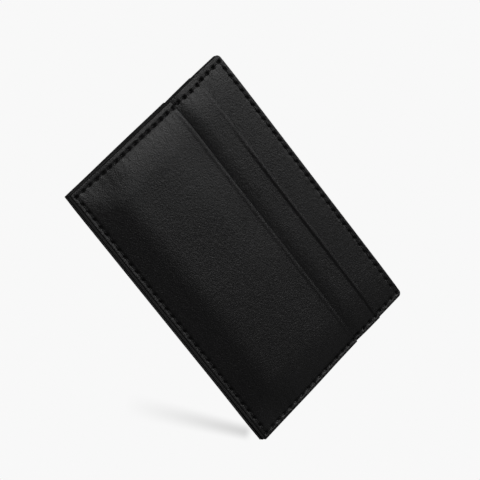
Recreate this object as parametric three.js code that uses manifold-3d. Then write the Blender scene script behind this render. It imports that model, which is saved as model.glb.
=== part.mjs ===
// Leather card holder: two mirrored halves, sewn together round a central pocket that opens at the top.
// Each half carries a tall panel with its lining, an upper T pocket (a leather band that hangs on a
// fabric slip) and a lower pocket. Millimetres. X runs along the long side, the front faces -Y and
// every pocket opens towards +Z. The origin is the middle of the bottom edge.

import * as THREE from 'three';
import { mergeVertices } from 'three/addons/utils/BufferGeometryUtils.js';
import Module from 'manifold-3d';

const wasm = await Module();
wasm.setup();

// Overall size and pocket heights.
const width = 101;
const height = 70;
const pocketStep = 12;
const upperMouth = height - pocketStep;
const lowerMouth = upperMouth - pocketStep;

// Layer thicknesses, and the air left between two layers that lie on each other.
const liningThickness = 0.25;
const panelThickness = 0.95;
const bandThickness = 0.9;
const slipThickness = 0.3;
const pocketThickness = 1.05;
const layerGap = 0.05;
const pocketSlack = 0.1;

// The ears of the upper pocket reach from its mouth down to earBottom at the side seams.
const earBottom = 30;
const earRampStart = 24;
const slipBottom = 12;
const slipHalfWidth = 40;

// Rounding of the outline.
const topCornerRadius = 2.2;
const bottomCornerCut = 0.3;

// Seams.
const seamInset = 1.6;
const stitchPitch = 2.95;
const threadWidth = 0.5;
const threadHeight = 0.25;
const threadHoleHeight = 0.1;
const seamJointGap = 0.35;
const mouthRamp = 0.4;

// Every layer is bent over the same columns and rows, so neighbours follow each other exactly.
const columnsRight = [0, 15, 30, slipHalfWidth, 45, width / 2 - topCornerRadius, width / 2];
const columns = [...columnsRight.slice(1).reverse().map((x) => -x), ...columnsRight];
const sideRise = [[30, 1], [slipHalfWidth, 0.65], [45, 0.25], [width / 2 - topCornerRadius, 0]];
const rows = [
  0, 2.2, 6, slipBottom, 18, earRampStart, earBottom, 38, lowerMouth,
  52, upperMouth, 63, height - topCornerRadius, height,
];
const bottomRise = [[2.2, 0], [6, 0.25], [slipBottom, 0.7], [18, 1]];

const leatherBlack = { color: 0x1c1b1d, roughness: 0.55, metalness: 0 };
const liningBlack = { color: 0x17171a, roughness: 0.9, metalness: 0 };
const threadBlack = { color: 0x0d0d0e, roughness: 0.65, metalness: 0 };

// A straight-line reading of a short list of [place, value] pairs, held flat past its ends.
function readAlong(pairs, place) {
  if (place <= pairs[0][0]) return pairs[0][1];
  for (let i = 1; i < pairs.length; i += 1) {
    const [start, from] = pairs[i - 1];
    const [end, to] = pairs[i];
    if (place <= end) return from + ((to - from) * (place - start)) / (end - start);
  }
  return pairs[pairs.length - 1][1];
}

// How far the leather has swollen out at a place: 0 at the sewn edges, 1 on the flat middle.
function swell(x, z) {
  return readAlong(sideRise, Math.abs(x)) * readAlong(bottomRise, z);
}

// How much of the upper pocket's ear lies under the lower pocket at the side seams.
function earShare(z) {
  return readAlong([[earRampStart, 0], [earBottom, 1]], z);
}

// Distance of each layer's inner face from the middle plane of the holder.
function liningInner(x, z) {
  return layerGap + pocketSlack * swell(x, z);
}

function panelInner(x, z) {
  return liningInner(x, z) + liningThickness + layerGap;
}

function panelOuter(x, z) {
  return panelInner(x, z) + panelThickness;
}

function bandInner(x, z) {
  return panelOuter(x, z) + layerGap + pocketSlack * swell(x, z);
}

function bandOuter(x, z) {
  return bandInner(x, z) + bandThickness;
}

function pocketInner(x, z) {
  const sewnDown = panelOuter(x, z) + layerGap;
  const overEar = bandOuter(x, z) + layerGap;
  const atEdge = sewnDown + (overEar - sewnDown) * earShare(z);
  const swollen = overEar + pocketSlack;
  return atEdge + (swollen - atEdge) * swell(x, z);
}

function pocketOuter(x, z) {
  return pocketInner(x, z) + pocketThickness;
}

// The outer face that the side seams run on: lower pocket, band or panel, with a short ramp down
// each pocket mouth.
const seamEdge = width / 2 - seamInset;
const seamFaces = [
  [earRampStart, pocketOuter(seamEdge, earRampStart)],
  [earBottom, pocketOuter(seamEdge, earBottom)],
  [lowerMouth + layerGap, pocketOuter(seamEdge, lowerMouth)],
  [lowerMouth + layerGap + mouthRamp, bandOuter(seamEdge, lowerMouth)],
  [upperMouth + layerGap, bandOuter(seamEdge, upperMouth)],
  [upperMouth + layerGap + mouthRamp, panelOuter(seamEdge, upperMouth)],
];

// Rounds the outline: the top corners follow an arc and the bottom corners are eased.
function easeCorner(x, z, roundTop) {
  const side = Math.sign(x);
  const atSide = Math.abs(x) > width / 2 - 1e-6;
  if (atSide && roundTop && z > height - 1e-6) {
    const inward = topCornerRadius * (1 - Math.SQRT1_2);
    return [x - side * inward, z - inward];
  }
  if (atSide && z < 1e-6) return [x - side * bottomCornerCut, z + bottomCornerCut];
  return [x, z];
}

// One bent layer: a box whose grid lines lie on the shared columns and rows. face(x, z) gives the
// inner face's distance from the middle plane, and side is -1 on the front half and 1 on the back.
function bentLayer({ halfWidth, bottom, top, thickness, face, side }) {
  const across = columns.filter((x) => Math.abs(x) <= halfWidth + 1e-6);
  const upward = rows.filter((z) => z >= bottom - 1e-6 && z <= top + 1e-6);
  const geometry = new THREE.BoxGeometry(1, 1, 1, across.length - 1, 1, upward.length - 1);
  const position = geometry.attributes.position;
  for (let i = 0; i < position.count; i += 1) {
    const x = across[Math.round((position.getX(i) + 0.5) * (across.length - 1))];
    const z = upward[Math.round((position.getZ(i) + 0.5) * (upward.length - 1))];
    const isOuter = position.getY(i) * side > 0;
    const distance = face(x, z) + (isOuter ? thickness : 0);
    const [outlineX, outlineZ] = easeCorner(x, z, top === height);
    position.setXYZ(i, outlineX, side * distance, outlineZ);
  }
  return geometry;
}

// How proud the thread stands, counted in stitches from the start of a run: full height in the
// middle of each stitch and low where the thread enters the leather.
function threadRise(stitches) {
  const profile = [[0, threadHoleHeight], [0.3, threadHeight], [0.7, threadHeight], [1, threadHoleHeight]];
  return readAlong(profile, stitches - Math.floor(stitches));
}

// The side view of a run of stitches, as a strip on the face. face(place) gives the distance of
// the leather's face, and bends lists the places where that face changes direction.
function stitchStrip(start, end, face, bends = []) {
  const count = Math.round((end - start) / stitchPitch);
  const pitch = (end - start) / count;
  const between = bends.filter((place) => place > start && place < end);
  const crest = [...between, end];
  for (let i = 0; i < count; i += 1) {
    for (const share of [0, 0.3, 0.7]) crest.push(start + (i + share) * pitch);
  }
  crest.sort((a, b) => b - a);
  const shape = new THREE.Shape();
  shape.moveTo(start, face(start) + layerGap);
  for (const place of [...between, end]) shape.lineTo(place, face(place) + layerGap);
  for (const place of crest) {
    shape.lineTo(place, face(place) + layerGap + threadRise((place - start) / pitch));
  }
  return shape;
}

// Extrudes a strip by the thread's width and lays it on the half that side names. A run up the
// sides keeps its length along Z, and a run across lies along X.
function layRun(shape, side, upright, centre) {
  const strip = new THREE.ExtrudeGeometry(shape, { depth: threadWidth, bevelEnabled: false });
  strip.translate(0, 0, -threadWidth / 2);
  const position = strip.attributes.position;
  for (let i = 0; i < position.count; i += 1) {
    const along = position.getX(i);
    const distance = position.getY(i);
    const aside = position.getZ(i) * side;
    if (upright) position.setXYZ(i, centre - aside, side * distance, along);
    else position.setXYZ(i, along, side * distance, centre + aside);
  }
  return strip;
}

function toSolid(geometry) {
  const bare = geometry.clone();
  bare.deleteAttribute('normal');
  bare.deleteAttribute('uv');
  const merged = mergeVertices(bare, 1e-4);
  return new wasm.Manifold(new wasm.Mesh({
    numProp: 3,
    vertProperties: new Float32Array(merged.attributes.position.array),
    triVerts: new Uint32Array(merged.index.array),
  }));
}

function toGeometry(solid) {
  const mesh = solid.getMesh();
  const geometry = new THREE.BufferGeometry();
  geometry.setAttribute('position', new THREE.BufferAttribute(new Float32Array(mesh.vertProperties), 3));
  geometry.setIndex(new THREE.BufferAttribute(new Uint32Array(mesh.triVerts), 1));
  geometry.computeVertexNormals();
  return geometry;
}

// The thread that closes both sides and the bottom on one face of the holder.
function seamThread(side) {
  const sideFace = (z) => readAlong(seamFaces, z);
  const bends = seamFaces.map(([z]) => z);
  const sideShape = () => stitchStrip(seamInset - threadWidth / 2, height - seamInset, sideFace, bends);
  const bottomFace = (x) => pocketOuter(x, seamInset);
  const bottomReach = seamEdge + threadWidth / 2;
  const bottomRun = layRun(stitchStrip(-bottomReach, bottomReach, bottomFace), side, false, seamInset);
  const leftRun = layRun(sideShape(), side, true, -seamEdge);
  const rightRun = layRun(sideShape(), side, true, seamEdge);
  return toGeometry(toSolid(bottomRun).add(toSolid(leftRun)).add(toSolid(rightRun)));
}

// The thread that holds the lining to the panel along its top edge, between the side seams.
function hemThread(side) {
  const reach = seamEdge - threadWidth / 2 - seamJointGap;
  const hemHeight = height - seamInset;
  const hemFace = () => panelOuter(0, hemHeight);
  return layRun(stitchStrip(-reach, reach, hemFace), side, false, hemHeight);
}

function piece(name, geometry, finish) {
  const mesh = new THREE.Mesh(geometry, new THREE.MeshStandardMaterial(finish));
  mesh.name = name;
  return mesh;
}

// One half of the holder, from the central pocket outwards.
function half(label, side) {
  const group = new THREE.Group();
  const full = { halfWidth: width / 2, side };
  const lining = bentLayer({
    ...full, bottom: 0, top: height, thickness: liningThickness, face: liningInner,
  });
  const panel = bentLayer({
    ...full, bottom: 0, top: height, thickness: panelThickness, face: panelInner,
  });
  const band = bentLayer({
    ...full, bottom: earBottom, top: upperMouth, thickness: bandThickness, face: bandInner,
  });
  const slip = bentLayer({
    side,
    halfWidth: slipHalfWidth,
    bottom: slipBottom,
    top: earBottom,
    thickness: slipThickness,
    face: bandInner,
  });
  const pocket = bentLayer({
    ...full, bottom: 0, top: lowerMouth, thickness: pocketThickness, face: pocketInner,
  });
  group.add(piece(`${label}_panel_lining`, lining, liningBlack));
  group.add(piece(`${label}_panel`, panel, leatherBlack));
  group.add(piece(`${label}_upper_pocket`, band, leatherBlack));
  group.add(piece(`${label}_upper_pocket_slip`, slip, liningBlack));
  group.add(piece(`${label}_lower_pocket`, pocket, leatherBlack));
  group.add(piece(`${label}_seam_thread`, seamThread(side), threadBlack));
  group.add(piece(`${label}_hem_thread`, hemThread(side), threadBlack));
  return group;
}

const cardHolder = new THREE.Group();
cardHolder.add(half('front', -1));
cardHolder.add(half('back', 1));

export default cardHolder;
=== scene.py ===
import math

import bpy
import numpy as np
from mathutils import Matrix, Vector


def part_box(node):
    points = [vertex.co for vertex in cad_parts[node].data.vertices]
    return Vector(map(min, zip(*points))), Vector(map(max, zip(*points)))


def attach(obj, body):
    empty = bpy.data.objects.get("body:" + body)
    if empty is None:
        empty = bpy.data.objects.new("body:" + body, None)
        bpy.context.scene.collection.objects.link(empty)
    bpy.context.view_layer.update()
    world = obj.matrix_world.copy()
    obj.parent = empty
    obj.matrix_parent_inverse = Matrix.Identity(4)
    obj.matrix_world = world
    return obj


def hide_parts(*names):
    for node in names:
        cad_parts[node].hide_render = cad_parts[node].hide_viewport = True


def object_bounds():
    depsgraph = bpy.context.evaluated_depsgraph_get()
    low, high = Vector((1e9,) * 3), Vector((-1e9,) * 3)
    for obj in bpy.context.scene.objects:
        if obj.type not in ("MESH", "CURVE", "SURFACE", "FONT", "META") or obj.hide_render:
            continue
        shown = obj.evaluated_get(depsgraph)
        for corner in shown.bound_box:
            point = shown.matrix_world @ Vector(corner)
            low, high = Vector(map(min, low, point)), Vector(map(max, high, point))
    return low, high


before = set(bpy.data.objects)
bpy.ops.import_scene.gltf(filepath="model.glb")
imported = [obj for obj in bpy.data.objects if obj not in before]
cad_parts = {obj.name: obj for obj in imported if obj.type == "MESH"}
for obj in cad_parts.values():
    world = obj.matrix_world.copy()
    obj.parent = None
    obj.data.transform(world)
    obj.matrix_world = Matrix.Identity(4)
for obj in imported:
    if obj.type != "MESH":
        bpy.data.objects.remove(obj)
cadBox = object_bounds()
mm = 0.001

# driving sizes, read off the frame
holderWidth = cadBox[1][0] - cadBox[0][0]
holderHeight = cadBox[1][2] - cadBox[0][2]
halfWidth = holderWidth / 2
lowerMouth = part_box("front_lower_pocket")[1][2]
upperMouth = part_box("front_upper_pocket")[1][2]
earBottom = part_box("front_upper_pocket")[0][2]
slipLow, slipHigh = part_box("front_upper_pocket_slip")
print("frame loaded:", len(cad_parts), "nodes")

# thickness of each layer and the air between two of them
layers = {
    "gap": 0.05 * mm,
    "lining": 0.25 * mm,
    "panel": 0.95 * mm,
    "band": 0.90 * mm,
    "slip": 0.30 * mm,
    "pocket": 1.05 * mm,
    "slack": 0.10 * mm,
}

# how the stack of layers bends
bending = {
    "margin": 2.2 * mm,  # flat strip along the sewn edges
    "sideReach": 11.5 * mm,  # from the margin to the flat middle
    "bottomReach": 15.0 * mm,
    "earBlend": 16.0 * mm,  # length of the step below the ears, inside and on the face
    "faceBlend": 14.0 * mm,
    "faceDrop": 8.5 * mm,
    "sidePinch": {-1: (0.10, 0.26), 1: (0.14, 0.19)},  # share pressed away below and at the ears
    "bottomPinch": 0.05,
    "pinchReach": 3.2 * mm,
    "leftRecovery": -0.2,  # how much of the pinch is gone again at the cut edge
    "rightRecovery": 0.08,
    "bottomRecovery": 0.85,
    "mouthLean": 0.2 * mm,  # how far the lower pocket leans back towards its mouth
    "mouthDip": 0.24,  # how far a layer sinks into the pocket in front of it
    "mouthDipAbove": 6.0 * mm,
    "mouthDipBelow": 10.0 * mm,
    "upperDipShare": 0.2,  # the upper pocket's mouth sinks much less
    "dipSideReach": 4.0 * mm,  # the dip is weaker at the sides
    "dipSideShare": 0.1,
    "dipBase": 0.75,  # the dip is deepest near the left side
    "dipExtra": 0.4,
    "dipPlace": -45 * mm,
    "dipPlaceReach": 20 * mm,
    "leanReach": 13 * mm,
    "drape": 0.012,  # soft unevenness of the whole stack
    "drapeSeed": 20,
}

seam = {
    "inset": 1.6 * mm,
    "leftHeights": np.array([0, 10, 24, 44, 52, 58, 64, 70]) * mm,
    "leftExtra": np.array([0.1, 0.4, 0.45, 0.5, 1.0, 0.9, 0.6, 0.4]) * mm,
    "bottomStitches": 32,
    "sideStitches": 23,
    "hemStitches": 33,
    "valleyDepth": 0.06 * mm,
    "valleyWidth": 0.5 * mm,
    "holeDepth": 0.7 * mm,
    "holeLength": 0.50 * mm,
    "holeWidth": 0.30 * mm,
    "sideHoleWidth": 0.33 * mm,
    "holeSlant": math.radians(10),
    "puckerHeight": 0.032 * mm,
    "puckerReach": 2.0 * mm,
    "puckerStart": 0.7 * mm,  # a pucker reaches its full height this far inside the seam
    "puckerAcross": 0.4,  # puckers are weaker along the bottom and the top
    "puckerUneven": 0.6,
    "puckerWaves": 3,  # how much finer their unevenness is than the drape's
    "puckerSeed": 40,
    "holeReach": 1.7 * mm,  # a pit is left out of the sum beyond this
    "layerFade": 0.6 * mm,  # the relief fades out where a layer goes under another
    "mouthClear": 0.4 * mm,  # no hole is nearer than this to a mouth's edge
}

# each mouth's own line, bulge and bead
# rise: place, reach and height of one rise in the line, then how much the whole line rises
# bead: height at the left and at the right, and where it changes
mouths = {
    "frontLower": {
        "rise": (-38 * mm, 9 * mm, 0.1 * mm, 0.15 * mm), "bulge": 0.06 * mm, "seed": 3,
        "bead": (0.07 * mm, 0.07 * mm, -20 * mm)},
    "frontUpper": {
        "rise": (-40 * mm, 24 * mm, 0.3 * mm, 0.4 * mm), "bulge": 0.05 * mm, "seed": 5,
        "bead": (0.03 * mm, 0.20 * mm, -38 * mm)},
    "backLower": {
        "rise": (26 * mm, 16 * mm, 0.4 * mm, 0.1 * mm), "bulge": 0.18 * mm, "seed": 7,
        "bead": (0.06 * mm, 0.08 * mm, -20 * mm)},
    "backUpper": {
        "rise": (18 * mm, 20 * mm, 0.3 * mm, 0.1 * mm), "bulge": 0.10 * mm, "seed": 11,
        "bead": (0.08 * mm, 0.06 * mm, -10 * mm)},
}

# the bead pressed along a mouth: where its flank starts and ends, and its fall at the edge
bead = {
    "start": 2.1 * mm,
    "end": 0.95 * mm,
    "fallReach": 0.85 * mm,
    "fall": 0.17 * mm,
    "changeReach": 30 * mm,
    "sideStart": 1.2 * mm,  # the bead ends this far from the sides
    "sideReach": 1 * mm,
}

# how far down and in from the sides a mouth's rise and bulge reach
mouthForm = {
    "riseBelow": 7 * mm,
    "bulgeBelow": 9 * mm,
    "sideReach": 9 * mm,
    "sideShare": 0.35,  # of the rise, at the sides
    "uneven": 0.4,
}

# a dent where the ears end, on the front's lower left
dent = {"x": -44 * mm, "z": 12.5 * mm, "reach": (7 * mm, 4 * mm), "depth": 0.06 * mm}

# the hand-cut outline wanders a little: heights, then how far out the right and left sides stand
outline = {
    "heights": np.array([0, 10, 22, 36, 45, 52, 60, 70]) * mm,
    "right": np.array([0.3, 0.25, 0.15, -0.1, -0.15, 0.1, 0.25, 0.3]) * mm,
    "left": np.array([0, 0, 0, 0, 0, 0.1, 0.2, 0.15]) * mm,
    "sideStart": 44 * mm,  # nothing nearer the middle is shifted
    "bottomRise": {-1: 0.0, 1: -0.2 * mm},  # of each half's bottom right corner
    "bottomStart": 22 * mm,
    "bottomReach": 14 * mm,
}


def smoothRise(t):
    t = np.clip(t, 0.0, 1.0)
    return t * t * (3 - 2 * t)


def bump(t):
    return np.exp(-t * t)


waves = {"count": 6, "lengths": (14, 42)}  # lengths in millimetres


# soft unevenness from a few long sines, from about -1 to 1
def softWave(x, z, seed):
    source = np.random.default_rng(seed)
    total = np.zeros(np.broadcast(x, z).shape)
    for _ in range(waves["count"]):
        length = source.uniform(*waves["lengths"]) * mm
        angle = source.uniform(0, math.pi)
        phase = source.uniform(0, 2 * math.pi)
        along = x * math.cos(angle) + z * math.sin(angle)
        total += np.sin(2 * math.pi * along / length + phase) / (waves["count"] / 2)
    return total


def swell(x, z):
    fromSide = (halfWidth - np.abs(x) - bending["margin"]) / bending["sideReach"]
    fromBottom = np.clip((z - seam["inset"]) / bending["bottomReach"], 0, 1)
    upward = 0.5 * smoothRise(fromBottom) + 0.5 * fromBottom * (2 - fromBottom)
    return smoothRise(fromSide) * upward


# how much of the upper pocket's ear lies under the lower pocket at the side seams
def earShare(z, blend):
    return smoothRise((z - earBottom + blend) / blend)


# how much further in the left seam runs at a height
def leftExtra(z):
    return np.interp(z, seam["leftHeights"], seam["leftExtra"])


def fromSideSeam(x, z):
    return halfWidth - np.abs(x) - np.where(x < 0, leftExtra(z), 0)


def pinchProfile(fromEdge, recovery):
    outside = 1 - recovery * (1 - fromEdge / seam["inset"])
    inside = np.exp(-(fromEdge - seam["inset"]) / bending["pinchReach"])
    return np.where(fromEdge < seam["inset"], outside, inside)


def seamPinch(x, z, side):
    below, atEars = bending["sidePinch"][side]
    pressed = below + (atEars - below) * earShare(z + bending["faceDrop"], bending["faceBlend"])
    recovery = np.where(x < 0, bending["leftRecovery"], bending["rightRecovery"])
    sides = pressed * pinchProfile(fromSideSeam(x, z), recovery)
    bottom = bending["bottomPinch"] * pinchProfile(z, bending["bottomRecovery"])
    return 1 - np.maximum(sides, bottom)


def mouthDip(x, z, mouth):
    above = np.clip(1 - (z - mouth) / bending["mouthDipAbove"], 0, 1) ** 2
    above = np.where(z < mouth, 1, above)
    below = smoothRise(1 + (z - mouth) / bending["mouthDipBelow"])
    fromSide = smoothRise((halfWidth - np.abs(x)) / bending["dipSideReach"])
    sideShare = bending["dipSideShare"]
    place = (x - bending["dipPlace"]) / bending["dipPlaceReach"]
    uneven = bending["dipBase"] + bending["dipExtra"] * bump(place)
    return bending["mouthDip"] * above * below * (1 - sideShare + sideShare * fromSide) * uneven


# distance of every face from the holder's middle plane
def stackFaces(x, z, side):
    lift = swell(x, z)
    face = {"liningInner": layers["gap"] + layers["slack"] * lift}
    face["liningOuter"] = face["liningInner"] + layers["lining"]
    face["panelInner"] = face["liningOuter"] + layers["gap"]
    face["panelOuter"] = face["panelInner"] + layers["panel"]
    face["bandInner"] = face["panelOuter"] + layers["gap"] + layers["slack"] * lift
    face["bandOuter"] = face["bandInner"] + layers["band"]
    face["slipOuter"] = face["bandInner"] + layers["slip"]
    sewnDown = face["panelOuter"] + layers["gap"]
    overEar = face["bandOuter"] + layers["gap"]
    swollen = overEar + layers["slack"]
    leanReach = bending["leanReach"]
    lean = bending["mouthLean"] * smoothRise((z - lowerMouth + leanReach) / leanReach) * lift
    insideShare = earShare(z, bending["earBlend"])
    faceShare = earShare(z + bending["faceDrop"], bending["faceBlend"])
    for name, share, thickness in (
        ("pocketInner", insideShare, 0),
        ("pocketOuter", faceShare, layers["pocket"]),
    ):
        atEdge = sewnDown + (overEar - sewnDown) * share
        face[name] = atEdge + (swollen - atEdge) * lift - lean + thickness
    drape = 1 + bending["drape"] * softWave(x, z, bending["drapeSeed"] + side) * lift
    upperDip = 1 - bending["upperDipShare"] * mouthDip(x, z, upperMouth)
    lowerDip = 1 - mouthDip(x, z, lowerMouth)
    for name in face:
        face[name] = face[name] * seamPinch(x, z, side) * drape
        if not name.startswith(("pocket", "band", "slip")):
            face[name] = face[name] * upperDip
        if not name.startswith("pocket"):
            face[name] = face[name] * lowerDip
    return face


# ends of the stitches along one run
def holePlaces(start, end, count):
    return np.linspace(start, end, count + 1)


seamX = halfWidth - seam["inset"]
seamTop = holderHeight - seam["inset"]
sideHoles = holePlaces(seam["inset"], seamTop, seam["sideStitches"])
bottomHoles = holePlaces(leftExtra(seam["inset"]) - seamX, seamX, seam["bottomStitches"])
hemHoles = holePlaces(leftExtra(seamTop) - seamX, seamX, seam["hemStitches"])


# every needle hole in a layer, with the direction that its run takes there
def layerHoles(low, high, withBottom, withHem):
    holes = []
    for z in sideHoles:
        if low < z < high:
            holes += [(leftExtra(z) - seamX, z, math.pi / 2), (seamX, z, math.pi / 2)]
    if withBottom:
        holes += [(x, seam["inset"], 0.0) for x in bottomHoles[1:-1]]
    if withHem:
        holes += [(x, seamTop, 0.0) for x in hemHoles[1:-1]]
    return holes


# what the thread does to an outer face: a valley, pits at the needle holes and puckers between them
def seamRelief(x, z, side, low, high, withBottom, withHem):
    fromSide = fromSideSeam(x, z)
    fromBottom = z if withBottom else np.full_like(z, 1.0)
    fromHem = holderHeight - z if withHem else np.full_like(z, 1.0)
    fromEdge = np.minimum.reduce([fromSide, fromBottom, fromHem])
    relief = -seam["valleyDepth"] * bump((fromEdge - seam["inset"]) / seam["valleyWidth"])

    def wave(place, holes):
        return np.cos(2 * math.pi * (place - holes[0]) / (holes[1] - holes[0]))

    beat = np.where(fromEdge == fromSide, wave(z, sideHoles), 0.0)
    beat = np.where(fromEdge == fromBottom, wave(x, bottomHoles), beat)
    beat = np.where(fromEdge == fromHem, wave(x, hemHoles), beat)
    inside = np.clip(fromEdge - seam["inset"], 0, None)
    finer = seam["puckerWaves"]
    uneven = 1 + seam["puckerUneven"] * softWave(x * finer, z * finer, seam["puckerSeed"] + side)
    fade = smoothRise(inside / seam["puckerStart"]) * np.exp(-inside / seam["puckerReach"])
    strength = np.where(fromEdge == fromSide, 1.0, seam["puckerAcross"])
    relief -= seam["puckerHeight"] * strength * uneven * beat * fade
    relief *= smoothRise((z - low + seam["layerFade"]) / seam["layerFade"])
    pit = np.zeros_like(x)
    for holeX, holeZ, direction in layerHoles(low, high, withBottom, withHem):
        near = np.maximum(np.abs(x - holeX), np.abs(z - holeZ)) < seam["holeReach"]
        turned = direction - side * seam["holeSlant"]
        offX, offZ = x[near] - holeX, z[near] - holeZ
        along = offX * math.cos(turned) + offZ * math.sin(turned)
        across = offZ * math.cos(turned) - offX * math.sin(turned)
        width = seam["sideHoleWidth"] if direction else seam["holeWidth"]
        shape = bump(along / seam["holeLength"]) * bump(across / width)
        pit[near] = np.maximum(pit[near], shape)
    return relief - seam["holeDepth"] * pit, pit


def beadRelief(x, z, mouth, plan):
    below = mouth - z
    atLeft, atRight, turn = plan["bead"]
    height = atLeft + (atRight - atLeft) * smoothRise((x - turn) / bead["changeReach"])
    flank = smoothRise((bead["start"] - below) / (bead["start"] - bead["end"]))
    edge = smoothRise((bead["fallReach"] - below) / bead["fallReach"])
    inward = smoothRise((halfWidth - np.abs(x) - bead["sideStart"]) / bead["sideReach"])
    return (height * flank - bead["fall"] * edge) * inward


def dentRelief(x, z, side):
    if side > 0:
        return 0
    reachX, reachZ = dent["reach"]
    return -dent["depth"] * bump((x - dent["x"]) / reachX) * bump((z - dent["z"]) / reachZ)


def mouthRise(x, z, mouth, plan):
    place, reach, size, everywhere = plan["rise"]
    inward = smoothRise((halfWidth - np.abs(x)) / mouthForm["sideReach"])
    atSide = mouthForm["sideShare"]
    line = (everywhere + size * bump((x - place) / reach)) * (atSide + (1 - atSide) * inward)
    return line * smoothRise(1 + (z - mouth) / mouthForm["riseBelow"])


def mouthBulge(x, z, mouth, plan):
    inward = smoothRise((seamX - np.abs(x)) / mouthForm["sideReach"])
    lift = smoothRise(1 + (z - mouth) / mouthForm["bulgeBelow"]) * inward
    return plan["bulge"] * lift * (1 + mouthForm["uneven"] * softWave(x, z * 0, plan["seed"]))


def outlineShift(x, z):
    shift = np.where(
        x > 0,
        np.interp(z, outline["heights"], outline["right"]),
        -np.interp(z, outline["heights"], outline["left"]),
    )
    start = outline["sideStart"]
    return shift * smoothRise((np.abs(x) - start) / (halfWidth - start))


def cornerRise(x, z, side):
    along = smoothRise((x - outline["bottomStart"]) / (halfWidth - outline["bottomStart"]))
    return outline["bottomRise"][side] * along * smoothRise(1 - z / outline["bottomReach"])


rimSteps = [0.0, 0.03 * mm, 0.1 * mm, 0.2 * mm, 0.34 * mm, 0.52 * mm]  # from a rim inwards
cutReach = 0.4 * mm  # width of the cut edge's own colour
smallest = 1e-7

# rim radius at the sides, bottom and top, then corner radius at the bottom and top
edges = {
    "pocket": ((0.5 * mm, 0.4 * mm, 0.5 * mm), (0.15 * mm, 0.3 * mm)),
    "band": ((0.45 * mm, 0.4 * mm, 0.5 * mm), (0.3 * mm, 0.3 * mm)),
    "panel": ((0.4 * mm, 0.4 * mm, 0.4 * mm), (0.15 * mm, 1.5 * mm)),
    "lining": ((0.12 * mm, 0.12 * mm, 0.12 * mm), (0.15 * mm, 1.5 * mm)),
    "slip": ((0.12 * mm, 0.12 * mm, 0.12 * mm), (0.3 * mm, 0.3 * mm)),
}


# grid lines with close steps at both rims and the asked spacing between them
def gridLines(low, high, spans):
    lines = [low + step for step in rimSteps]
    inner = high - rimSteps[-1]
    for end, spacing in spans:
        start, end = lines[-1], min(end, inner)
        if end <= start:
            continue
        count = max(1, round((end - start) / spacing))
        lines += list(np.linspace(start, end, count + 1)[1:])
    if inner - lines[-1] > smallest:
        lines.append(inner)
    return np.array(lines + [high - step for step in reversed(rimSteps[:-1])])


# turns the square corners of the outline into arcs
def roundCorners(x, z, low, high, reach, bottomRadius, topRadius):
    atBottom = (bottomRadius, low + bottomRadius, -1)
    atTop = (topRadius, high - topRadius, 1)
    for radius, centreZ, sign in (atBottom, atTop):
        centreX = reach - radius
        offX, offZ = np.abs(x) - centreX, (z - centreZ) * sign
        inCorner = (offX > 0) & (offZ > 0)
        length = np.where(inCorner, np.hypot(offX, offZ), 1)
        scale = np.where(inCorner, np.maximum(offX, offZ) / length, 1)
        x = np.where(inCorner, np.sign(x) * (centreX + offX * scale), x)
        z = np.where(inCorner, centreZ + sign * offZ * scale, z)
    return x, z


def newObject(name, data):
    made = bpy.data.objects.new(name, data)
    bpy.context.collection.objects.link(made)
    return made


def addAttribute(mesh, name, values):
    layer = mesh.attributes.new(name, "FLOAT", "POINT")
    layer.data.foreach_set("value", values.astype(np.float32))


# a closed sheet: two faces that share their border and round over to meet there
def makeSheet(name, columns, rows, faces, side, edge, shift, material):
    rims, corners = edge
    x, z = np.meshgrid(columns, rows)
    inner, outer, pit = faces(x, z)
    low, high = rows[0], rows[-1]
    fromSide = np.minimum(x - columns[0], columns[-1] - x)
    roll = np.ones_like(x)
    for distance, radius in ((fromSide, rims[0]), (z - low, rims[1]), (high - z, rims[2])):
        share = 1 - np.clip(distance / radius, 0, 1)
        roll *= np.sqrt(np.clip(1 - share * share, 0, 1))
    middle = (inner + outer) / 2
    outer = middle + (outer - middle) * roll
    inner = middle + (inner - middle) * roll
    shiftX, shiftZ = shift(x, z)
    placeX, placeZ = roundCorners(x, z, low, high, columns[-1], *corners)
    placeX, placeZ = placeX + shiftX, placeZ + shiftZ
    border = np.ones_like(x, bool)
    border[1:-1, 1:-1] = False
    outerIndex = np.arange(x.size).reshape(x.shape)
    innerIndex = outerIndex.copy()
    innerIndex[~border] = x.size + np.arange((~border).sum())
    outerPoints = np.stack([placeX, side * outer, placeZ], -1)
    innerPoints = np.stack([placeX, side * inner, placeZ], -1)
    points = np.vstack([outerPoints.reshape(-1, 3), innerPoints[~border]])

    def quads(index):
        corner = [index[:-1, :-1], index[:-1, 1:], index[1:, 1:], index[1:, :-1]]
        return np.stack(corner, -1).reshape(-1, 4)

    outward, inward = quads(outerIndex), quads(innerIndex)
    if side < 0:
        inward = inward[:, ::-1]
    else:
        outward = outward[:, ::-1]
    mesh = bpy.data.meshes.new(name)
    mesh.from_pydata(points.tolist(), [], np.vstack([outward, inward]).tolist())
    fromRim = np.minimum.reduce([fromSide, z - low, high - z])
    cut = 1 - np.clip(fromRim / cutReach, 0, 1)
    addAttribute(mesh, "cutEdge", np.concatenate([cut.ravel(), cut[~border]]))
    # the pits' mask, which paints shade into the needle holes and sets their roughness
    addAttribute(mesh, "needleHoleShade", np.concatenate([pit.ravel(), np.zeros((~border).sum())]))
    mesh.polygons.foreach_set("use_smooth", [True] * len(mesh.polygons))
    mesh.materials.append(material)
    mesh.update()
    return newObject(name, mesh)


def link(tree, fromSocket, toSocket):
    tree.links.new(fromSocket, toSocket)


# a new node; its inputs take numbers, colours or other nodes' sockets
def addNode(tree, kind, values=None, **settings):
    node = tree.nodes.new(kind)
    for name, value in settings.items():
        setattr(node, name, value)
    for name, value in (values or {}).items():
        if isinstance(value, bpy.types.NodeSocket):
            link(tree, value, node.inputs[name])
        else:
            node.inputs[name].default_value = value
    return node


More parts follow.
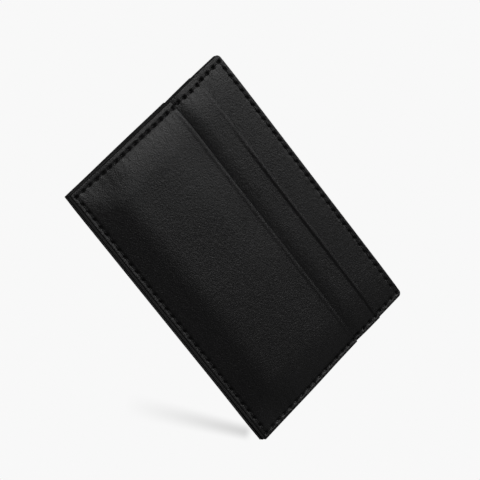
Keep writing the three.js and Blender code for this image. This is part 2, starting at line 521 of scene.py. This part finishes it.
def addMath(tree, operation, *values):
    inputs = dict(enumerate(values))
    return addNode(tree, "ShaderNodeMath", inputs, operation=operation).outputs["Value"]


def newGroup(name, kind, inputs, outputs):
    tree = bpy.data.node_groups.new(name, kind)
    for label, socket, value in inputs:
        made = tree.interface.new_socket(name=label, in_out="INPUT", socket_type=socket)
        if value is not None:
            made.default_value = value
    for label, socket in outputs:
        tree.interface.new_socket(name=label, in_out="OUTPUT", socket_type=socket)
    return tree, addNode(tree, "NodeGroupInput"), addNode(tree, "NodeGroupOutput")


# cloudy unevenness between two values
def makeMottleGroup():
    tree, source, result = newGroup("mottle", "ShaderNodeTree", [
        ("Vector", "NodeSocketVector", None),
        ("Scale", "NodeSocketFloat", 100.0),
        ("Detail", "NodeSocketFloat", 3.0),
        ("Low", "NodeSocketFloat", 0.0),
        ("High", "NodeSocketFloat", 1.0),
    ], [("Value", "NodeSocketFloat")])
    noise = addNode(tree, "ShaderNodeTexNoise", {
        name: source.outputs[name] for name in ("Vector", "Scale", "Detail")})
    spread = addNode(tree, "ShaderNodeMapRange", {
        "Value": noise.outputs["Fac"],
        "From Min": 0.3,
        "From Max": 0.7,
        "To Min": source.outputs["Low"],
        "To Max": source.outputs["High"],
    })
    link(tree, spread.outputs["Result"], result.inputs["Value"])
    return tree


# sparse specks of dust: small dots in a few of the cells
def makeDustGroup():
    tree, source, result = newGroup("dust", "ShaderNodeTree", [
        ("Vector", "NodeSocketVector", None),
        ("Scale", "NodeSocketFloat", 160.0),
        ("Size", "NodeSocketFloat", 0.03),
        ("Share", "NodeSocketFloat", 0.1),
    ], [("Mask", "NodeSocketFloat")])
    cells = addNode(tree, "ShaderNodeTexVoronoi", {
        name: source.outputs[name] for name in ("Vector", "Scale")})
    channel = addNode(tree, "ShaderNodeSeparateColor", {"Color": cells.outputs["Color"]})
    dot = addMath(tree, "LESS_THAN", cells.outputs["Distance"], source.outputs["Size"])
    chosen = addMath(tree, "LESS_THAN", channel.outputs["Red"], source.outputs["Share"])
    link(tree, addMath(tree, "MULTIPLY", dot, chosen), result.inputs["Mask"])
    return tree


mottleGroup = makeMottleGroup()
dustGroup = makeDustGroup()


def newMaterial(name, specular):
    material = bpy.data.materials.new(name)
    material.use_nodes = True
    tree = material.node_tree
    shader = tree.nodes["Principled BSDF"]
    shader.inputs["Specular IOR Level"].default_value = specular
    coords = addNode(tree, "ShaderNodeTexCoord")
    return material, tree, shader, coords.outputs["Object"]


def addMottle(tree, place, scale, low, high, detail=3.0):
    values = {"Vector": place, "Scale": scale, "Detail": detail, "Low": low, "High": high}
    return addNode(tree, "ShaderNodeGroup", values, node_tree=mottleGroup).outputs["Value"]


dust = {"colour": (0.16, 0.155, 0.15), "size": 0.03}  # size as a share of its cell


def addDust(tree, place, surface, scale, share):
    values = {"Vector": place, "Scale": scale, "Size": dust["size"], "Share": share}
    specks = addNode(tree, "ShaderNodeGroup", values, node_tree=dustGroup)
    return mixColours(tree, specks.outputs["Mask"], surface, dust["colour"])


def addBump(tree, height, depth, under=None):
    values = {"Strength": 1.0, "Distance": depth, "Height": height}
    if under is not None:
        values["Normal"] = under
    return addNode(tree, "ShaderNodeBump", values).outputs["Normal"]


def mixColours(tree, mask, first, second):
    first, second = ((*c, 1) if isinstance(c, tuple) else c for c in (first, second))
    mix = addNode(tree, "ShaderNodeMix", {0: mask, 6: first, 7: second}, data_type="RGBA")
    return mix.outputs[2]


def mixValues(tree, mask, first, second):
    mix = addNode(tree, "ShaderNodeMix", {0: mask, 2: first, 3: second}, data_type="FLOAT")
    return mix.outputs[0]


calf = {
    "light": (0.0125, 0.0120, 0.0128),
    "deep": (0.0085, 0.0082, 0.0090),
    "edge": (0.0070, 0.0068, 0.0074),
    # painted shade: the near-black colour given to the needle holes' pits
    "hole": (0.0008, 0.0008, 0.0008),
    "cloudScale": 700.0,
    "dustScale": 130.0,
    "dustShare": 0.16,
    "holeShadeSpread": 0.95,  # below 1 the painted shade of a hole spreads wider than its pit
    "finishScale": 900.0,
    "smooth": 0.30,
    "dull": 0.35,
    "edgeRoughness": 0.38,
    "holeRoughness": 0.4,
    "grainScale": 2300.0,
    "grainDetail": 4.0,
    "grainDepth": 0.034 * mm,
    "poreScale": 900.0,
    "poreDepth": 0.026 * mm,
}


def makeCalf():
    material, tree, shader, place = newMaterial("blackCalf", 0.5)
    cloud = addMottle(tree, place, calf["cloudScale"], 0.0, 1.0)
    surface = mixColours(tree, cloud, calf["deep"], calf["light"])
    cut = addNode(tree, "ShaderNodeAttribute", attribute_name="cutEdge").outputs["Fac"]
    surface = mixColours(tree, cut, surface, calf["edge"])
    # painted shade: the needle holes' colour is pulled towards near black
    pit = addNode(tree, "ShaderNodeAttribute", attribute_name="needleHoleShade").outputs["Fac"]
    hole = addMath(tree, "POWER", pit, calf["holeShadeSpread"])
    surface = mixColours(tree, hole, surface, calf["hole"])
    surface = addDust(tree, place, surface, calf["dustScale"], calf["dustShare"])
    link(tree, surface, shader.inputs["Base Color"])
    finish = addMottle(tree, place, calf["finishScale"], calf["smooth"], calf["dull"])
    finish = mixValues(tree, cut, finish, calf["edgeRoughness"])
    link(tree, mixValues(tree, hole, finish, calf["holeRoughness"]), shader.inputs["Roughness"])
    poreCells = {"Vector": place, "Scale": calf["poreScale"]}
    pores = addNode(tree, "ShaderNodeTexVoronoi", poreCells, feature="SMOOTH_F1")
    grain = addMottle(tree, place, calf["grainScale"], 0.0, 1.0, calf["grainDetail"])
    poreNormal = addBump(tree, pores.outputs["Distance"], calf["poreDepth"])
    link(tree, addBump(tree, grain, calf["grainDepth"], poreNormal), shader.inputs["Normal"])
    return material


waxedThread = {
    "light": (0.034, 0.033, 0.035),
    "deep": (0.016, 0.0155, 0.0165),
    "cloudScale": 900.0,
    "dustScale": 400.0,
    "dustShare": 0.02,
    "finishScale": 1500.0,
    "smooth": 0.38,
    "dull": 0.52,
    "fibreScale": 5200.0,
    "fibreDepth": 0.01 * mm,
}


def makeThreadMaterial():
    material, tree, shader, place = newMaterial("waxedThread", 0.4)
    cloud = addMottle(tree, place, waxedThread["cloudScale"], 0.0, 1.0)
    colour = mixColours(tree, cloud, waxedThread["deep"], waxedThread["light"])
    colour = addDust(tree, place, colour, waxedThread["dustScale"], waxedThread["dustShare"])
    link(tree, colour, shader.inputs["Base Color"])
    low, high = waxedThread["smooth"], waxedThread["dull"]
    finish = addMottle(tree, place, waxedThread["finishScale"], low, high)
    link(tree, finish, shader.inputs["Roughness"])
    fibre = addMottle(tree, place, waxedThread["fibreScale"], 0.0, 1.0)
    link(tree, addBump(tree, fibre, waxedThread["fibreDepth"]), shader.inputs["Normal"])
    return material


wovenLining = {
    "light": (0.016, 0.016, 0.018),
    "deep": (0.006, 0.006, 0.007),
    "yarnPitch": 0.42 * mm,
    "weaveDepth": 0.05 * mm,
    "dustScale": 300.0,
    "dustShare": 0.05,
    "finishScale": 700.0,
    "smooth": 0.6,
    "dull": 0.8,
}


# one set of yarns as a wave along x or z
def addYarns(tree, place, axis):
    split = addNode(tree, "ShaderNodeSeparateXYZ", {"Vector": place})
    turn = addMath(tree, "MULTIPLY", split.outputs[axis], 2 * math.pi / wovenLining["yarnPitch"])
    return addMath(tree, "SINE", turn)


def makeLiningMaterial():
    material, tree, shader, place = newMaterial("wovenLining", 0.3)
    weave = addMath(tree, "MULTIPLY", addYarns(tree, place, "X"), addYarns(tree, place, "Z"))
    spread = addNode(tree, "ShaderNodeMapRange", {"Value": weave, "From Min": -1.0, "From Max": 1.0})
    yarn = spread.outputs["Result"]
    colour = mixColours(tree, yarn, wovenLining["deep"], wovenLining["light"])
    colour = addDust(tree, place, colour, wovenLining["dustScale"], wovenLining["dustShare"])
    link(tree, colour, shader.inputs["Base Color"])
    low, high = wovenLining["smooth"], wovenLining["dull"]
    finish = addMottle(tree, place, wovenLining["finishScale"], low, high)
    link(tree, finish, shader.inputs["Roughness"])
    link(tree, addBump(tree, yarn, wovenLining["weaveDepth"]), shader.inputs["Normal"])
    return material


leather = makeCalf()
thread = makeThreadMaterial()
lining = makeLiningMaterial()
print("materials made:", leather.name, thread.name, lining.name)


stitch = {
    "threadWidth": 0.46 * mm,
    "twists": 1.3,
    "sink": 0.75 * mm,
    "rise": 0.02 * mm,
    "plyRadius": 0.27,  # of the thread's width
    "plyOffset": 0.21,
    "turnSteps": 6,
    "plySides": 4,
    "dropPower": 4.0,  # higher keeps a stitch level until nearer its holes
    "slantShare": 0.5,  # of the holes' slant
    "jitter": 0.08,
    "seed": 9,
    "testPlaces": (0.2, 0.35, 0.5, 0.65, 0.8),  # where the leather under a stitch is felt
    "clearShare": 0.7,
    "slopeStep": 0.4 * mm,
    "steepest": 0.4,
}


# lays a two-ply stitch over every point, along the point's run and with its back outward
def makeStitchTree():
    tree, source, result = newGroup("stitchRun", "GeometryNodeTree", [
        ("Geometry", "NodeSocketGeometry", None),
        ("Stitch Length", "NodeSocketFloat", 3.0 * mm),
        ("Thread Width", "NodeSocketFloat", 0.5 * mm),
        ("Twists", "NodeSocketFloat", 1.5),
        ("Sink", "NodeSocketFloat", 0.3 * mm),
        ("Slant", "NodeSocketFloat", 0.0),
        ("Jitter", "NodeSocketFloat", 0.05),
        ("Seed", "NodeSocketInt", 1),
        ("Material", "NodeSocketMaterial", None),
    ], [("Geometry", "NodeSocketGeometry")])

    length, width = source.outputs["Stitch Length"], source.outputs["Thread Width"]
    plyRadius = addMath(tree, "MULTIPLY", width, stitch["plyRadius"])
    plyOffset = addMath(tree, "MULTIPLY", width, stitch["plyOffset"])
    spiral = addNode(tree, "GeometryNodeCurveSpiral", {
        "Resolution": stitch["turnSteps"],
        "Rotations": source.outputs["Twists"],
        "Start Radius": plyOffset,
        "End Radius": plyOffset,
        "Height": length,
    })
    section = addNode(tree, "GeometryNodeCurvePrimitiveCircle", {
        "Resolution": stitch["plySides"], "Radius": plyRadius})
    ply = addNode(tree, "GeometryNodeCurveToMesh", {
        "Curve": spiral.outputs["Curve"],
        "Profile Curve": section.outputs["Curve"],
        "Fill Caps": True,
    })
    otherPly = addNode(tree, "GeometryNodeTransform", {
        "Geometry": ply.outputs["Mesh"], "Rotation": (0, 0, math.pi)})
    plies = addNode(tree, "GeometryNodeJoinGeometry")
    link(tree, ply.outputs["Mesh"], plies.inputs[0])
    link(tree, otherPly.outputs["Geometry"], plies.inputs[0])
    centre = addNode(tree, "ShaderNodeCombineXYZ", {"Z": addMath(tree, "MULTIPLY", length, -0.5)})
    centred = addNode(tree, "GeometryNodeTransform", {
        "Geometry": plies.outputs["Geometry"], "Translation": centre.outputs["Vector"]})
    lying = addNode(tree, "GeometryNodeTransform", {
        "Geometry": centred.outputs["Geometry"], "Rotation": (0, math.pi / 2, 0)})

    # both ends dip into their holes
    position = addNode(tree, "GeometryNodeInputPosition")
    split = addNode(tree, "ShaderNodeSeparateXYZ", {"Vector": position.outputs["Position"]})
    fromMiddle = addMath(tree, "ABSOLUTE", split.outputs["X"])
    half = addMath(tree, "MULTIPLY", length, 0.5)
    share = addMath(tree, "POWER", addMath(tree, "DIVIDE", fromMiddle, half), stitch["dropPower"])
    deepest = addMath(tree, "MULTIPLY", source.outputs["Sink"], -1.0)
    drop = addNode(tree, "ShaderNodeCombineXYZ", {"Z": addMath(tree, "MULTIPLY", share, deepest)})
    dipped = addNode(tree, "GeometryNodeSetPosition", {
        "Geometry": lying.outputs["Geometry"], "Offset": drop.outputs["Vector"]})
    slantTurn = addNode(tree, "ShaderNodeCombineXYZ", {"Z": source.outputs["Slant"]})
    slanted = addNode(tree, "GeometryNodeTransform", {
        "Geometry": dipped.outputs["Geometry"], "Rotation": slantTurn.outputs["Vector"]})

    # each stitch is turned, stretched to its run and given a thickness of its own
    run, out = (
        addNode(tree, "GeometryNodeInputNamedAttribute", {"Name": name}, data_type="FLOAT_VECTOR")
        for name in ("run", "outward"))
    turn = addNode(tree, "FunctionNodeAxesToRotation", {
        "Primary Axis": run.outputs["Attribute"],
        "Secondary Axis": out.outputs["Attribute"],
    }, primary_axis="X", secondary_axis="Z")
    reach = addNode(tree, "ShaderNodeVectorMath", {0: run.outputs["Attribute"]}, operation="LENGTH")
    stretch = addMath(tree, "DIVIDE", reach.outputs["Value"], length)
    jitter = source.outputs["Jitter"]
    seed = {"Seed": source.outputs["Seed"]}
    chance = addNode(tree, "FunctionNodeRandomValue", seed, data_type="FLOAT")
    limits = [s for s in chance.inputs if s.name in ("Min", "Max")]
    minimum, maximum = [s for s in limits if s.type == "VALUE" and s.enabled]
    link(tree, addMath(tree, "SUBTRACT", 1.0, jitter), minimum)
    link(tree, addMath(tree, "ADD", 1.0, jitter), maximum)
    thickness = next(s for s in chance.outputs if s.enabled and s.type == "VALUE")
    scale = addNode(tree, "ShaderNodeCombineXYZ", {"X": stretch, "Y": thickness, "Z": thickness})
    onPoints = addNode(tree, "GeometryNodeInstanceOnPoints", {
        "Points": source.outputs["Geometry"],
        "Instance": slanted.outputs["Geometry"],
        "Rotation": turn.outputs["Rotation"],
        "Scale": scale.outputs["Vector"],
    })
    real = addNode(tree, "GeometryNodeRealizeInstances", {"Geometry": onPoints.outputs["Instances"]})
    smooth = addNode(tree, "GeometryNodeSetShadeSmooth", {"Geometry": real.outputs["Geometry"]})
    coloured = addNode(tree, "GeometryNodeSetMaterial", {
        "Geometry": smooth.outputs["Geometry"], "Material": source.outputs["Material"]})
    link(tree, coloured.outputs["Geometry"], result.inputs["Geometry"])
    return tree


stitchTree = makeStitchTree()
print("stitch tree made:", len(stitchTree.nodes), "nodes")


# which face the side seams run on at a height
def seamFaceName(z):
    if z < lowerMouth:
        return "pocketOuter"
    return "bandOuter" if z < upperMouth else "panelOuter"


# stitches from hole to hole along one run, as centre, run and outward vectors
def layStitches(places, side):
    laid, step = [], stitch["slopeStep"]

    def height(x, z):
        return float(stackFaces(np.array([x]), np.array([z]), side)[seamFaceName(z)][0])

    def slope(x, z, stepX, stepZ):
        change = height(x + stepX, z + stepZ) - height(x - stepX, z - stepZ)
        return max(-stitch["steepest"], min(stitch["steepest"], change / (2 * step)))

    for (startX, startZ), (endX, endZ) in zip(places[:-1], places[1:]):
        start = Vector((startX, side * height(startX, startZ), startZ))
        end = Vector((endX, side * height(endX, endZ), endZ))
        startLift, endLift = (Vector((0, 0, cornerRise(p.x, p.z, side))) for p in (start, end))
        clear = 0.0
        for share in stitch["testPlaces"]:
            spot = start.lerp(end, share)
            clear = max(clear, height(spot.x, spot.z) - abs(spot.y))
        centre = (start + end) / 2
        slopeX, slopeZ = slope(centre.x, centre.z, step, 0), slope(centre.x, centre.z, 0, step)
        outward = Vector((-slopeX, side, -slopeZ)).normalized()
        centre += Vector((0, side, 0)) * (stitch["clearShare"] * clear)
        centre += outward * (stitch["rise"] - 0.5 * seam["valleyDepth"])
        centre += (startLift + endLift) / 2
        laid.append((centre, end + endLift - start - startLift, outward))
    return laid


# turns laid stitches into one plain mesh through the stitch tree
def makeThread(name, laid, side):
    mesh = bpy.data.meshes.new(name + "Points")
    mesh.from_pydata([list(centre) for centre, _, _ in laid], [], [])
    for label, column in (("run", 1), ("outward", 2)):
        layer = mesh.attributes.new(label, "FLOAT_VECTOR", "POINT")
        layer.data.foreach_set("vector", [part for row in laid for part in row[column]])
    points = newObject(name + "Points", mesh)
    modifier = points.modifiers.new("stitches", "NODES")
    modifier.node_group = stitchTree
    settings = {
        "Stitch Length": laid[0][1].length,
        "Thread Width": stitch["threadWidth"],
        "Twists": stitch["twists"],
        "Sink": stitch["sink"],
        "Slant": seam["holeSlant"] * stitch["slantShare"],
        "Jitter": stitch["jitter"],
        "Seed": stitch["seed"] + side,
        "Material": thread,
    }
    for item in stitchTree.interface.items_tree:
        if item.in_out == "INPUT" and item.name in settings:
            modifier[item.identifier] = settings[item.name]
    bpy.context.view_layer.update()
    graph = bpy.context.evaluated_depsgraph_get()
    made = bpy.data.meshes.new_from_object(points.evaluated_get(graph))
    made.name = name
    bpy.data.objects.remove(points)
    return newObject(name, made)


# spacing of the grid lines, and how wide the close strips are
grid = {
    "seam": 0.25 * mm,
    "mouth": 0.18 * mm,
    "across": 0.36 * mm,
    "middle": 0.6 * mm,
    "hidden": 2.0 * mm,
    "seamStrip": 4 * mm,
    "mouthStrip": 3.5 * mm,
    "underMouth": 2.5 * mm,  # a covered layer's close lines start this far below the mouth
}
belowBottom = -1 * mm  # keeps the relief whole down to the bottom edge


def claim(piece, node):
    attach(piece, "root")
    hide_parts(node)


def makeHalf(label, side):
    columns = gridLines(-halfWidth, halfWidth, [
        (-halfWidth + grid["seamStrip"], grid["seam"]),
        (halfWidth - grid["seamStrip"], grid["across"]),
        (halfWidth, grid["seam"]),
    ])
    plainColumns = gridLines(-halfWidth, halfWidth, [(halfWidth, grid["hidden"])])
    lower, upper = mouths[label + "Lower"], mouths[label + "Upper"]

    def outlineOnly(x, z):
        return outlineShift(x, z), cornerRise(x, z, side)

    pocketRows = gridLines(0, lowerMouth, [
        (grid["seamStrip"], grid["seam"]),
        (lowerMouth - grid["mouthStrip"], grid["middle"]),
        (lowerMouth, grid["mouth"]),
    ])

    def pocketFaces(x, z):
        face = stackFaces(x, z, side)
        highest = lowerMouth - seam["mouthClear"]
        relief, pit = seamRelief(x, z, side, belowBottom, highest, True, False)
        lift = mouthBulge(x, z, lowerMouth, lower)
        outer = face["pocketOuter"] + lift + relief
        outer += beadRelief(x, z, lowerMouth, lower) + dentRelief(x, z, side)
        return face["pocketInner"] + lift, outer, pit

    def pocketShift(x, z):
        return outlineShift(x, z), mouthRise(x, z, lowerMouth, lower) + cornerRise(x, z, side)

    pocket = makeSheet(
        label + "LowerPocket", columns, pocketRows, pocketFaces, side,
        edges["pocket"], pocketShift, leather)
    claim(pocket, label + "_lower_pocket")

    bandRows = gridLines(earBottom, upperMouth, [
        (lowerMouth - grid["underMouth"], grid["hidden"]),
        (upperMouth - grid["mouthStrip"], grid["seam"]),
        (upperMouth, grid["mouth"]),
    ])

    def bandFaces(x, z):
        face = stackFaces(x, z, side)
        highest = upperMouth - seam["mouthClear"]
        relief, pit = seamRelief(x, z, side, lowerMouth, highest, False, False)
        lift = mouthBulge(x, z, upperMouth, upper)
        outer = face["bandOuter"] + lift + relief + beadRelief(x, z, upperMouth, upper)
        return face["bandInner"] + lift, outer, pit

    def bandShift(x, z):
        return outlineShift(x, z), mouthRise(x, z, upperMouth, upper)

    band = makeSheet(
        label + "UpperPocket", columns, bandRows, bandFaces, side,
        edges["band"], bandShift, leather)
    claim(band, label + "_upper_pocket")

    panelRows = gridLines(0, holderHeight, [
        (upperMouth - grid["underMouth"], grid["hidden"]),
        (holderHeight, grid["seam"]),
    ])

    def panelFaces(x, z):
        face = stackFaces(x, z, side)
        relief, pit = seamRelief(x, z, side, upperMouth, holderHeight, False, True)
        return face["panelInner"], face["panelOuter"] + relief, pit

    panel = makeSheet(
        label + "Panel", columns, panelRows, panelFaces, side,
        edges["panel"], outlineOnly, leather)
    claim(panel, label + "_panel")

    def liningFaces(x, z):
        face = stackFaces(x, z, side)
        return face["liningInner"], face["liningOuter"], np.zeros_like(x)

    liningRows = gridLines(0, holderHeight, [(holderHeight, grid["hidden"])])
    panelLining = makeSheet(
        label + "PanelLining", plainColumns, liningRows, liningFaces, side,
        edges["lining"], outlineOnly, lining)
    claim(panelLining, label + "_panel_lining")

    def slipFaces(x, z):
        face = stackFaces(x, z, side)
        return face["bandInner"], face["slipOuter"], np.zeros_like(x)

    slipColumns = gridLines(slipLow[0], slipHigh[0], [(slipHigh[0], grid["hidden"])])
    slipRows = gridLines(slipLow[2], slipHigh[2], [(slipHigh[2], grid["hidden"])])
    slip = makeSheet(
        label + "UpperPocketSlip", slipColumns, slipRows, slipFaces, side,
        edges["slip"], outlineOnly, lining)
    claim(slip, label + "_upper_pocket_slip")

    leftRun = [(leftExtra(z) - seamX, z) for z in sideHoles]
    rightRun = [(seamX, z) for z in sideHoles]
    bottomRun = [(x, seam["inset"]) for x in bottomHoles]
    laid = []
    for places in (leftRun, bottomRun, rightRun):
        laid += layStitches(places, side)
    seamThread = makeThread(label + "SeamThread", laid, side)
    claim(seamThread, label + "_seam_thread")
    hem = layStitches([(x, seamTop) for x in hemHoles], side)
    hemThread = makeThread(label + "HemThread", hem, side)
    claim(hemThread, label + "_hem_thread")
    made = (pocket, band, panel, panelLining, slip, seamThread, hemThread)
    print(label, "half:", ", ".join(f"{p.name} {len(p.data.polygons)}" for p in made))


makeHalf("front", -1)
makeHalf("back", 1)


camera = {
    "azimuth": -17.33,
    "elevation": -22.69,
    "roll": 44.98,
    "distance": 709.6 * mm,
    "lens": 167.8,
    "sensor": 36,
    "clipStart": 0.01,
    "aim": (-1.48 * mm, 0, 36.47 * mm),
}


def makeCamera():
    azimuth, elevation = math.radians(camera["azimuth"]), math.radians(camera["elevation"])
    away = Vector((
        math.sin(azimuth) * math.cos(elevation),
        -math.cos(azimuth) * math.cos(elevation),
        math.sin(elevation),
    ))
    data = bpy.data.cameras.new("studioCamera")
    data.lens = camera["lens"]
    data.sensor_width = camera["sensor"]
    data.clip_start = camera["clipStart"]
    made = newObject("studioCamera", data)
    turn = away.to_track_quat("Z", "Y").to_matrix().to_4x4()
    roll = Matrix.Rotation(math.radians(camera["roll"]), 4, "Z")
    place = Vector(camera["aim"]) + away * camera["distance"]
    made.matrix_world = Matrix.Translation(place) @ turn @ roll
    bpy.context.scene.camera = made
    return made


studio = {
    "backdrop": 0.939,
    "ambient": (0.055, 0.26),  # in front of the holder and behind it
    "ambientSpan": (-0.1, 0.8),  # between which directions it changes, along y
    "floorRadius": 0.9,
    "floorFade": (0.16, 0.42),
    "floorColour": (0.8, 0.8, 0.8),
    "floorGlow": 0.55,
}

softboxes = {
    "topLight": {"place": (0.09, -0.95, 0.72), "size": (0.36, 0.36), "power": 0.74},
    "keyLight": {"place": (-0.20, -0.93, 0.55), "size": (0.36, 0.36), "power": 1.26},
    "fillLight": {"place": (0.66, -0.72, 0.42), "size": (0.32, 0.50), "power": 0.10},
    "overheadLight": {"place": (0.0, -0.34, 1.00), "size": (0.45, 0.30), "power": 1.0},
    "backLight": {"place": (0.30, 0.85, 0.60), "size": (0.45, 0.36), "power": 1.4},
}


def makeWorld():
    world = bpy.data.worlds.new("studio")
    bpy.context.scene.world = world
    world.use_nodes = True
    tree = world.node_tree
    tree.nodes.clear()
    white = (1, 1, 1, 1)
    dim, bright = studio["ambient"]
    ahead, behind = studio["ambientSpan"]
    coords = addNode(tree, "ShaderNodeTexCoord")
    split = addNode(tree, "ShaderNodeSeparateXYZ", {"Vector": coords.outputs["Generated"]})
    spread = addNode(tree, "ShaderNodeMapRange", {
        "Value": split.outputs["Y"],
        "From Min": ahead,
        "From Max": behind,
        "To Min": dim,
        "To Max": bright,
    })
    ambient = addNode(tree, "ShaderNodeBackground", {
        "Color": white, "Strength": spread.outputs["Result"]})
    backdrop = addNode(tree, "ShaderNodeBackground", {
        "Color": white, "Strength": studio["backdrop"]})
    path = addNode(tree, "ShaderNodeLightPath")
    mix = addNode(tree, "ShaderNodeMixShader", {
        0: path.outputs["Is Camera Ray"],
        1: ambient.outputs["Background"],
        2: backdrop.outputs["Background"],
    })
    addNode(tree, "ShaderNodeOutputWorld", {"Surface": mix.outputs["Shader"]})


def makeSoftbox(name, plan):
    data = bpy.data.lights.new(name, "AREA")
    data.shape = "RECTANGLE"
    data.size, data.size_y = plan["size"]
    data.energy = plan["power"]
    softbox = newObject(name, data)
    place, aim = Vector(plan["place"]), Vector((0, 0, holderHeight / 2))
    turn = (aim - place).to_track_quat("-Z", "Y").to_matrix().to_4x4()
    softbox.matrix_world = Matrix.Translation(place) @ turn


def stagePlane(name, reach, material, matrix):
    mesh = bpy.data.meshes.new(name)
    corners = [(-reach, -reach, 0), (reach, -reach, 0), (reach, reach, 0), (-reach, reach, 0)]
    mesh.from_pydata(corners, [], [(0, 1, 2, 3)])
    mesh.materials.append(material)
    plane = newObject(name, mesh)
    plane.matrix_world = matrix
    # seen by the camera only, so the holder's light stays as it is
    plane.visible_diffuse = plane.visible_glossy = plane.visible_transmission = False
    plane.visible_shadow = False


def newStageMaterial(name):
    material = bpy.data.materials.new(name)
    material.use_nodes = True
    tree = material.node_tree
    tree.nodes.clear()
    return material, tree


# shows one shader over another by a share
def finishStage(tree, share, under, over):
    mix = addNode(tree, "ShaderNodeMixShader", {0: share, 1: under, 2: over})
    addNode(tree, "ShaderNodeOutputMaterial", {"Surface": mix.outputs["Shader"]})


# pale and matt from above, clear from below and towards its rim
def makeFloor():
    material, tree = newStageMaterial("paleFloor")
    near, far = studio["floorFade"]
    coords = addNode(tree, "ShaderNodeTexCoord")
    away = addNode(tree, "ShaderNodeVectorMath", {0: coords.outputs["Object"]}, operation="LENGTH")
    fadeLimits = {"Value": away.outputs["Value"], "From Min": near, "From Max": far}
    fade = addNode(tree, "ShaderNodeMapRange", fadeLimits, interpolation_type="SMOOTHSTEP")
    geometry = addNode(tree, "ShaderNodeNewGeometry")
    hidden = addMath(tree, "MAXIMUM", geometry.outputs["Backfacing"], fade.outputs["Result"])
    matt = addNode(tree, "ShaderNodeBsdfDiffuse", {"Color": (*studio["floorColour"], 1)})
    glow = addNode(tree, "ShaderNodeEmission", {"Strength": studio["floorGlow"]})
    lit = addNode(tree, "ShaderNodeAddShader", {0: matt.outputs["BSDF"], 1: glow.outputs["Emission"]})
    clear = addNode(tree, "ShaderNodeBsdfTransparent")
    finishStage(tree, hidden, lit.outputs["Shader"], clear.outputs["BSDF"])
    stagePlane("floor", studio["floorRadius"], material, Matrix.Identity(4))


# a painted soft shadow that runs off from the holder's lower right corner, kept below the floor's
# level
cornerShade = {
    "corner": (50.3 * mm, 3.0 * mm, -0.3 * mm),
    "start": (-1.2 * mm, 1.6 * mm),
    "turn": -13.3,
    "length": 42 * mm,
    "halfWidth": (3.2 * mm, 5.2 * mm),  # at the corner and at the far end
    "strength": 0.30,
    "begin": 3 * mm,  # how softly it starts
    "reach": 50 * mm,  # half the plane's side
}


def makeCornerShade(view):
    material, tree = newStageMaterial("softShade")
    coords = addNode(tree, "ShaderNodeTexCoord")
    mapping = addNode(tree, "ShaderNodeMapping", {
        "Vector": coords.outputs["Object"],
        "Location": (*cornerShade["start"], 0),
        "Rotation": (0, 0, math.radians(cornerShade["turn"])),
    }, vector_type="TEXTURE")
    split = addNode(tree, "ShaderNodeSeparateXYZ", {"Vector": mapping.outputs["Vector"]})

    def fade(value, start, end, low, high, kind="LINEAR"):
        limits = {"Value": value, "From Min": start, "From Max": end, "To Min": low, "To Max": high}
        node = addNode(tree, "ShaderNodeMapRange", limits, interpolation_type=kind)
        return node.outputs["Result"]

    geometry = addNode(tree, "ShaderNodeNewGeometry")
    away, nearWidth, farWidth = split.outputs["X"], *cornerShade["halfWidth"]
    aside = addMath(tree, "ABSOLUTE", split.outputs["Y"])
    width = fade(away, -cornerShade["length"], 0, farWidth, nearWidth)
    across = fade(addMath(tree, "DIVIDE", aside, width), 0, 1, 1, 0, "SMOOTHSTEP")
    along = fade(away, -cornerShade["length"], 0, 0, cornerShade["strength"])
    begin = fade(away, -cornerShade["begin"], 0, 1, 0, "SMOOTHSTEP")
    seen = fade(geometry.outputs["Backfacing"], 0, 1, 1, 0)
    form = addMath(tree, "MULTIPLY", along, across)
    share = addMath(tree, "MULTIPLY", form, addMath(tree, "MULTIPLY", begin, seen))
    clear = addNode(tree, "ShaderNodeBsdfTransparent")
    # painted shadow: black mixed over the clear plane by the shade's mask
    dark = addNode(tree, "ShaderNodeBsdfDiffuse", {"Color": (0, 0, 0, 1)})
    finishStage(tree, share, clear.outputs["BSDF"], dark.outputs["BSDF"])
    turn = view.matrix_world.to_quaternion().to_matrix().to_4x4()
    place = Matrix.Translation(cornerShade["corner"])
    stagePlane("cornerShade", cornerShade["reach"], material, place @ turn)


view = makeCamera()
makeCornerShade(view)
makeWorld()
for name, plan in softboxes.items():
    makeSoftbox(name, plan)
makeFloor()
bpy.context.scene.view_settings.view_transform = "Standard"
print("studio ready:", len(softboxes), "softboxes")
